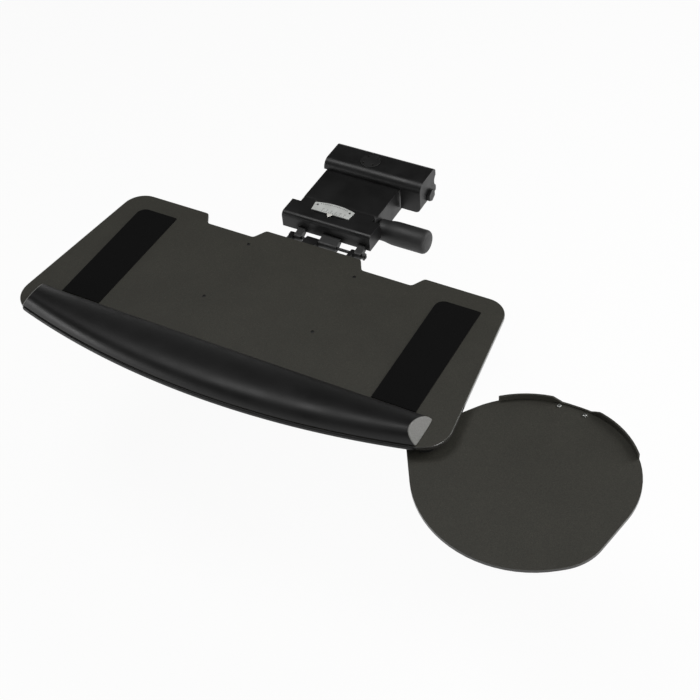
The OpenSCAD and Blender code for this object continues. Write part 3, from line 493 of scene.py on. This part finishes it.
def springPath():
    # down the upright leg, then round the helix while x falls by one pitch a turn, then straight out along the free leg
    s = spring
    a = np.linspace(np.pi, np.pi * (1 + 2 * s["turns"]), int(s["perTurn"] * s["turns"]))
    coil = np.stack([s["firstX"] - s["pitch"] * (a / np.pi - 1) / 2, s["axisY"] + s["radius"] * np.cos(a),
                     s["axisZ"] + s["radius"] * np.sin(a)], -1)
    share = np.linspace(0, 1, s["legSteps"] + 1)[:-1, None]
    top = coil[0] * (1, 1, 0) + (0, 0, s["legTop"])
    tip = coil[-1] * (1, 0, 1) + (0, s["tipY"], 0)
    return np.concatenate([top + (coil[0] - top) * share, coil, (tip + (coil[-1] - tip) * share)[::-1]])


def sweepWire(path, radius, sides):
    # a circle carried along the path and square to it, its first spoke always turned towards +X
    ahead = np.gradient(path, axis=0)
    ahead /= np.linalg.norm(ahead, axis=1, keepdims=True)
    spoke = np.array([1.0, 0, 0]) - ahead[:, :1] * ahead
    spoke /= np.linalg.norm(spoke, axis=1, keepdims=True)
    other = np.cross(ahead, spoke)
    a = np.linspace(0, 2 * np.pi, sides, endpoint=False)[None, :, None]
    return path[:, None] + radius * (np.cos(a) * spoke[:, None] + np.sin(a) * other[:, None])


def buildSpring():
    s = spring
    rows = sweepWire(springPath(), s["wire"] / 2, s["sides"])
    piece = addPiece("lift_spring_wire", gridMesh("lift_spring_wire", rows * mm), "zinc-plated steel", None,
                     ["lift_spring"])
    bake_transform(piece)


buildSpring()

# small pan heads that are only trim: the face they stand on, head width and height, shank width and depth, and x, y
scoopScrew = dict(on=mouseTop, head=6.0, high=1.7, shank=3.6, deep=6.2, body="mouse", finish="zinc-plated steel",
                  slotName="plated_steel")
gaugeRivet = dict(on=gaugeTop, head=3.0, high=0.7, shank=1.6, deep=0.9, body="head",
                  finish="powder-coated steel black", slotName="black_steel")
rivetUp = 12.1  # from the gauge's front edge
trimScrews = {
    "scoop_screw_left": dict(scoopScrew, at=scoopHoles[0]),
    "scoop_screw_right": dict(scoopScrew, at=scoopHoles[1]),
    "gauge_rivet_left": dict(gaugeRivet, at=(-30.0, gaugeFront + rivetUp)),
    "gauge_rivet_right": dict(gaugeRivet, at=(22.0, gaugeFront + rivetUp)),
}
# from the socket's floor over the crown to the rim, in shares of the head; the first rows are the socket
panProfile = dict(radius=(0.23, 0.23, 0.31, 0.42, 0.48, 0.5, 0.5), height=(0.45, 0.97, 1.0, 0.86, 0.62, 0.3, 0.0),
                  socketRows=2, sides=36, sharpDegrees=38)


def panHead(name, at, on, head, high, shank, deep, body, finish, slotName):
    # the profile and the shank turned about the screw's axis; in the socket the radius is that of a hexagon
    p = panProfile
    a = np.linspace(0, 2 * np.pi, p["sides"], endpoint=False)
    hexagon = math.cos(math.pi / 6) / np.cos((a % (math.pi / 3)) - math.pi / 6)
    r = np.append(np.array(p["radius"]) * head, [shank / 2, shank / 2])
    z = np.append(np.array(p["height"]) * high, [0.0, -deep])
    wide = r[:, None] * np.where(np.arange(len(r))[:, None] < p["socketRows"], hexagon, 1.0)
    up = on / mm + np.repeat(z[:, None], p["sides"], 1)
    mesh = gridMesh(name, np.stack([at[0] + wide * np.cos(a), at[1] + wide * np.sin(a), up], -1) * mm)
    mesh.set_sharp_from_angle(angle=math.radians(p["sharpDegrees"]))
    addPiece(name, mesh, finish, body)


for name, s in trimScrews.items():
    panHead(name, **s)

# scale printed on the gauge: the pointer runs 0.08 m for each radian of tilt, so a degree is 1.396 mm
scale = dict(centreX=-4.0, degreeMm=1.396, low=-10, high=15, step=2.5, longEvery=5, figure=3.3, figureUp=5.4,
             ink=0.05, sunk=0.01, line=0.42, tickUp=0.9, shortMm=2.2, longMm=3.8, arcRadius=104.9, arcMiddle=21.0,
             arcIn=3.2, arcHalf=23.0, arcPoints=33, dashHalf=0.7, dashGap=0.35)


def inkBar(work, x0, y0, x1, y1):
    # a thin raised bar of ink between two corners
    heights = (gaugeTop - scale["sunk"] * mm, gaugeTop + scale["ink"] * mm)
    corners = [(x, y, z) for z in heights for x, y in ((x0, y0), (x1, y0), (x1, y1), (x0, y1))]
    v = [work.verts.new((x * mm, y * mm, z)) for x, y, z in corners]
    for f in ((3, 2, 1, 0), (4, 5, 6, 7), (0, 1, 5, 4), (1, 2, 6, 5), (2, 3, 7, 6), (3, 0, 4, 7)):
        work.faces.new([v[i] for i in f])


def inkFigure(work, x, degree):
    s = scale
    curve = bpy.data.curves.new("figure", "FONT")
    curve.body, curve.size, curve.extrude = str(abs(int(degree))), s["figure"] * mm, s["ink"] * mm / 2
    curve.align_x = "CENTER"
    holder = bpy.data.objects.new("figure", curve)
    mesh = bpy.data.meshes.new_from_object(holder)
    mesh.transform(Matrix.Translation((x * mm, (gaugeFront + s["figureUp"]) * mm, gaugeTop + s["ink"] * mm / 2)))
    work.from_mesh(mesh)
    bpy.data.objects.remove(holder)


def printScale():
    s = scale
    work = bmesh.new()
    foot = gaugeFront + s["tickUp"]
    for degree in np.arange(s["low"], s["high"] + 0.1, s["step"]):
        x = s["centreX"] + degree * s["degreeMm"]
        numbered = degree % s["longEvery"] == 0
        inkBar(work, x - s["line"] / 2, foot, x + s["line"] / 2, foot + (s["longMm"] if numbered else s["shortMm"]))
        if numbered:
            inkFigure(work, x, degree)
    # a row of dashes that follows the plate's round rear edge
    half = math.asin(s["arcHalf"] / s["arcRadius"])
    a = np.linspace(-half, half, s["arcPoints"])
    outer = s["arcRadius"] - s["arcIn"]
    for a0, a1 in zip(a[:-1:2], a[1::2]):
        x0, x1 = (s["centreX"] + outer * math.sin(t) for t in (a0, a1))
        y = gaugeFront + s["arcMiddle"] - s["arcRadius"] + outer * math.cos((a0 + a1) / 2)
        inkBar(work, x0, y - s["dashHalf"], x1 - s["dashGap"], y + s["dashHalf"])
    mesh = bpy.data.meshes.new("gauge_scale")
    work.to_mesh(mesh)
    work.free()
    addPiece("gauge_scale", mesh, "printing ink black", "head")


printScale()
print("spring, trim screws and gauge scale made")

# camera where the photograph was taken from, in the solids' frame
view = dict(azimuth=31.936, elevation=44.862, roll=-5.330, distance=1769.119, target=(145.796, -339.468, -22.8),
            focalPx=1371.485, framePx=700, sensorMm=36, clipEnd=200)


def placeCamera():
    v = view
    az, el, roll = (math.radians(v[k]) for k in ("azimuth", "elevation", "roll"))
    back = Vector((math.sin(az) * math.cos(el), -math.cos(az) * math.cos(el), math.sin(el)))
    right = (-back).cross(Vector((0, 0, 1))).normalized()
    up = right.cross(-back)
    right, up = math.cos(roll) * right + math.sin(roll) * up, -math.sin(roll) * right + math.cos(roll) * up
    data = bpy.data.cameras.new("camera")
    data.sensor_width = v["sensorMm"]
    data.lens = v["sensorMm"] * v["focalPx"] / v["framePx"]
    data.clip_end = v["clipEnd"]
    camera = bpy.data.objects.new("camera", data)
    scene.collection.objects.link(camera)
    turn = Matrix((right, up, back)).transposed().to_4x4()
    camera.matrix_world = Matrix.Translation((Vector(v["target"]) + back * v["distance"]) * mm) @ turn
    scene.camera = camera


placeCamera()

# soft studio: a broad lamp high in front on the right, a smaller one high on the left, a tall panel behind on the
# right, and low ones on the right and left that only the edges and ends catch
lamps = {
    "highRight": dict(at=(0.75, -1.1, 1.75), to=(0.15, -0.35, 0), size=(1.8, 1.4), power=8),
    "highLeft": dict(at=(-0.58, -0.26, 1.85), to=(0.0, -0.45, 0), size=(0.9, 0.8), power=15),
    "rightRear": dict(at=(1.75, 1.05, 0.95), to=(0.3, -0.3, 0), size=(1.2, 1.8), power=36),
    "lowRight": dict(at=(2.1, -0.9, 0.2), to=(0.3, -0.4, 0), size=(0.9, 0.35), power=16),
    "lowLeft": dict(at=(-1.7, -1.6, 0.1), to=(-0.3, -0.5, 0), size=(0.9, 0.4), power=12),
}
room = dict(strength=0.08, wallFade=(0.06, 0.16), floorDrop=0.26, floorSize=120.0, floorWhite="#f4f4f2",
            floorRough=0.9, whiteShare=0.93)
white = (1, 1, 1, 1)


def hangLamps():
    for name, s in lamps.items():
        data = bpy.data.lights.new(name, "AREA")
        data.shape = "RECTANGLE"
        data.size, data.size_y = s["size"]
        data.energy = s["power"]
        lamp = bpy.data.objects.new(name, data)
        lamp.location = s["at"]
        lamp.rotation_euler = (Vector(s["to"]) - Vector(s["at"])).to_track_quat("-Z", "Y").to_euler()
        scene.collection.objects.link(lamp)


def paintWalls():
    # white to the camera, and low round the horizon in reflections too; dim above, where a studio's ceiling is dark
    world = bpy.data.worlds.new("studio")
    scene.world = world
    world.use_nodes = True
    tree = world.node_tree
    ray = addNode(tree, "ShaderNodeLightPath").outputs
    outward = addNode(tree, "ShaderNodeTexCoord").outputs["Generated"]
    height = addNode(tree, "ShaderNodeSeparateXYZ", {"Vector": outward}).outputs["Z"]
    low = spread(tree, height, room["wallFade"], (1.0, 0.0))
    mirrored = calculate(tree, "MAXIMUM", ray["Is Glossy Ray"], ray["Is Transmission Ray"])
    seen = calculate(tree, "MAXIMUM", ray["Is Camera Ray"], calculate(tree, "MULTIPLY", mirrored, low))
    glow = spread(tree, seen, whole, (room["strength"], 1.0))
    setSockets(tree, tree.nodes["Background"], {"Color": white, "Strength": glow})


def floorPaper():
    # nearly white to the camera and in reflections but still holding the shadow
    material, tree, shader, _ = startMaterial("floor paper white")
    setSockets(tree, shader, {"Base Color": linear(room["floorWhite"]), "Roughness": room["floorRough"]})
    glow = addNode(tree, "ShaderNodeEmission", {"Color": white, "Strength": 1.0}).outputs["Emission"]
    ray = addNode(tree, "ShaderNodeLightPath").outputs
    direct = calculate(tree, "MAXIMUM", ray["Is Camera Ray"], ray["Is Glossy Ray"])
    anyRay = calculate(tree, "MAXIMUM", direct, ray["Is Transmission Ray"])
    share = calculate(tree, "MULTIPLY", anyRay, room["whiteShare"])
    paper = addNode(tree, "ShaderNodeMixShader", {0: share, 1: shader.outputs["BSDF"], 2: glow}).outputs["Shader"]
    # from below the floor is clear, so that the underside can be looked at
    below = addNode(tree, "ShaderNodeNewGeometry").outputs["Backfacing"]
    clear = addNode(tree, "ShaderNodeBsdfTransparent").outputs["BSDF"]
    oneSided = addNode(tree, "ShaderNodeMixShader", {0: below, 1: paper, 2: clear}).outputs["Shader"]
    output = next(node for node in tree.nodes if node.type == "OUTPUT_MATERIAL")
    setSockets(tree, output, {"Surface": oneSided})
    return material


def layFloor():
    half, low = room["floorSize"] / 2, cadBox[0][2] - room["floorDrop"]
    mesh = bpy.data.meshes.new("floor")
    mesh.from_pydata([(-half, -half, low), (half, -half, low), (half, half, low), (-half, half, low)], [], [(0, 1, 2, 3)])
    mesh.materials.append(floorPaper())
    floor = bpy.data.objects.new("floor", mesh)
    scene.collection.objects.link(floor)


hangLamps()
paintWalls()
layFloor()
scene.view_settings.view_transform = "Standard"
print("studio lit")
